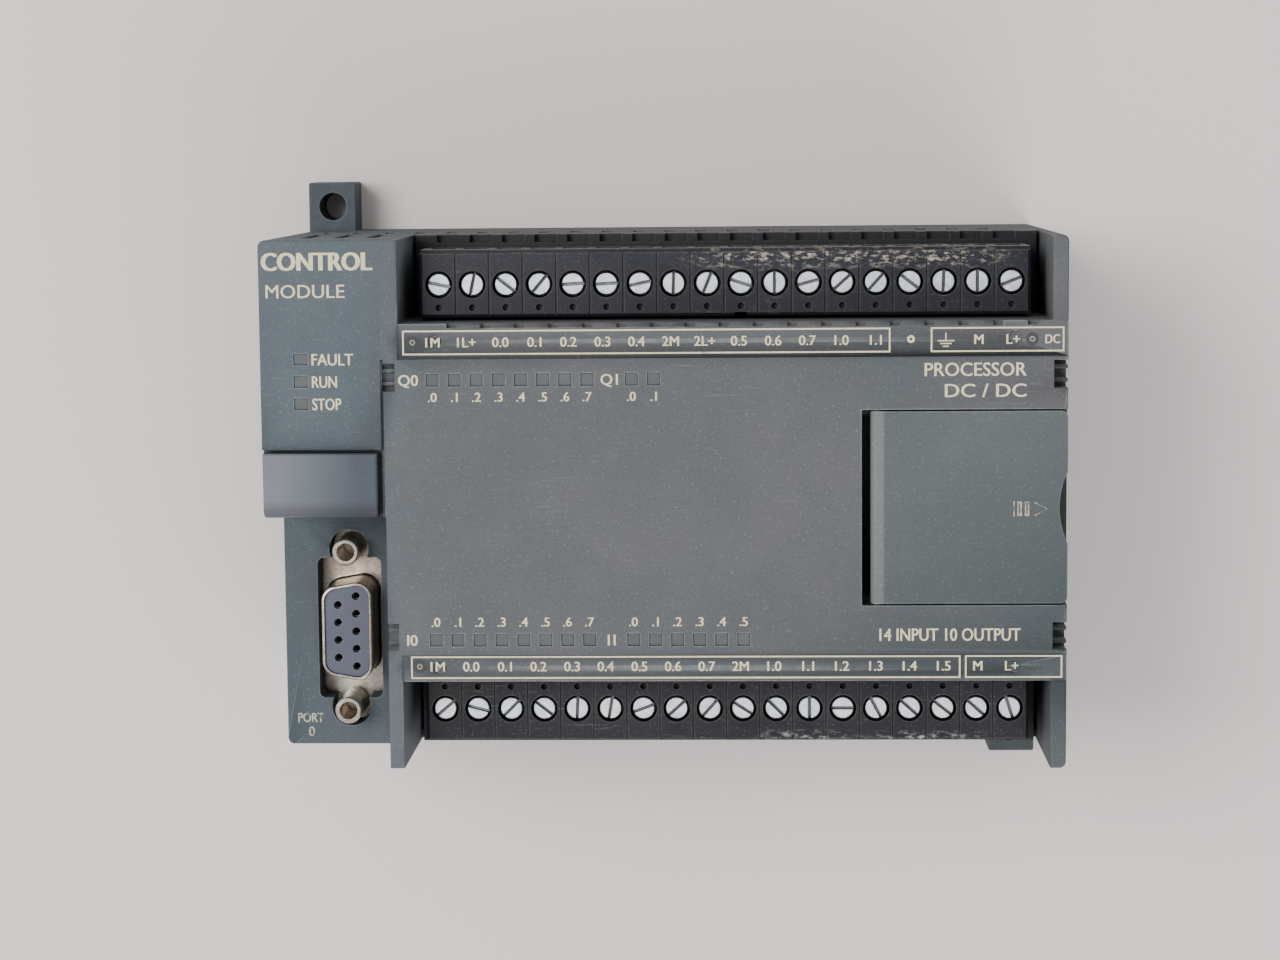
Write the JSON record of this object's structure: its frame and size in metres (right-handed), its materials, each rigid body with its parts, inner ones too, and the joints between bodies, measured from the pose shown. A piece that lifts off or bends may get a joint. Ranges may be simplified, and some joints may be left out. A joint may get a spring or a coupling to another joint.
{
  "type": "programmable logic controller",
  "caption": "Compact programmable controller with plug-off screw terminal blocks, indicator lamps, a nine-way port, a hinged access door and lugs for a panel.",
  "frame": {"origin": "middle of the back face, which rests on the panel or table", "axes": "+X along the module to the end with the access door, +Y towards the output terminals, +Z out of the front"},
  "size_m": [0.1204, 0.096, 0.0626],
  "materials": {
    "housing_grey": "fine spark-eroded texture, matte",
    "cover_blue_grey": "satin",
    "terminal_black": "satin, scuffed",
    "zinc_plated": "bright zinc plating",
    "contact_tin": "tin plating",
    "pin_brass": "bright",
    "nickel_shell": "nickel plating, satin",
    "port_plastic": "matte",
    "board_green": "solder mask",
    "chip_black": "matte",
    "lamp_grey": "frosted",
    "led_clear": "clear",
    "clip_grey": "satin",
    "white_plastic": "matte",
    "trimmer_blue": "matte",
    "capacitor_sleeve": "shrink sleeve",
    "ferrite_grey": "matte",
    "connector_black": "matte"
  },
  "bodies": {
    "module": {"rear_housing": "housing_grey", "front_skirt": "housing_grey", "port_corner": "housing_grey", "column_shell": "housing_grey", "upper_bay": "housing_grey", "lower_bay": "housing_grey", "front_panel": "housing_grey", "door_pocket": "housing_grey", "cartridge_well": "housing_grey", "power_board": "board_green", "io_board": "board_green", "cpu_board": "board_green", "board_spacers": "pin_brass", "board_screws": "zinc_plated", "board_connectors": "connector_black", "output_lenses": "lamp_grey", "input_lenses": "lamp_grey", "status_lenses": "lamp_grey", "output_leds": "led_clear", "input_leds": "led_clear", "status_leds": "led_clear", "dsub_shell": "nickel_shell", "dsub_insulator": "port_plastic", "dsub_contacts": "pin_brass", "dsub_jacks": "nickel_shell", "mode_switch_body": "connector_black", "trimmer_bodies": "trimmer_blue", "expansion_connector": "connector_black", "expansion_pins": "pin_brass", "cartridge_socket": "connector_black", "cartridge_contacts": "pin_brass", "processor": "chip_black", "memory_chips": "chip_black", "backup_capacitor": "capacitor_sleeve", "output_drivers": "chip_black", "input_couplers": "chip_black", "transformer": "ferrite_grey", "bulk_capacitors": "capacitor_sleeve", "power_inductor": "ferrite_grey", "power_transistors": "chip_black", "fuse": "white_plastic", "upper_pin_header": "terminal_black", "upper_header_pins": "contact_tin", "lower_pin_header": "terminal_black", "lower_header_pins": "contact_tin"},
    "door": {"access_door": "housing_grey"},
    "cartridge_lid": {"cartridge_cover": "cover_blue_grey"},
    "upper_block": {"upper_terminal_block": "terminal_black", "upper_terminal_screws": "zinc_plated", "upper_wire_clamps": "zinc_plated", "upper_block_contacts": "contact_tin"},
    "lower_block": {"lower_terminal_block": "terminal_black", "lower_terminal_screws": "zinc_plated", "lower_wire_clamps": "zinc_plated", "lower_block_contacts": "contact_tin"},
    "rail_clip": {"din_clip": "clip_grey"},
    "mode_lever": {"mode_switch_lever": "white_plastic"},
    "trimmer_0": {"trimmer_rotor_0": "white_plastic"},
    "trimmer_1": {"trimmer_rotor_1": "white_plastic"}
  },
  "joints": [
    {"name": "access_door_hinge", "type": "hinge", "parent": "module", "child": "door", "pos_m": [0.03195, -0.0005, 0.061], "axis": [0, -1, 0], "range_deg": [0, 100]},
    {"name": "cartridge_lid_pull", "type": "slide", "parent": "module", "child": "cartridge_lid", "axis": [0, 0, 1], "range_m": [0, 0.012]},
    {"name": "upper_block_pull", "type": "slide", "parent": "module", "child": "upper_block", "axis": [0, 0, 1], "range_m": [0, 0.025]},
    {"name": "lower_block_pull", "type": "slide", "parent": "module", "child": "lower_block", "axis": [0, 0, 1], "range_m": [0, 0.025]},
    {"name": "rail_clip_slide", "type": "slide", "parent": "module", "child": "rail_clip", "axis": [0, -1, 0], "range_m": [0, 0.004]},
    {"name": "mode_switch_slide", "type": "slide", "parent": "module", "child": "mode_lever", "axis": [0, 1, 0], "range_m": [-0.002, 0.002]},
    {"name": "trimmer_0_turn", "type": "hinge", "parent": "module", "child": "trimmer_0", "pos_m": [0.0375, -0.004, 0.0478], "axis": [0, 0, 1], "range_deg": [-135, 135]},
    {"name": "trimmer_1_turn", "type": "hinge", "parent": "module", "child": "trimmer_1", "pos_m": [0.0375, -0.0094, 0.0478], "axis": [0, 0, 1], "range_deg": [-135, 135]}
  ]
}
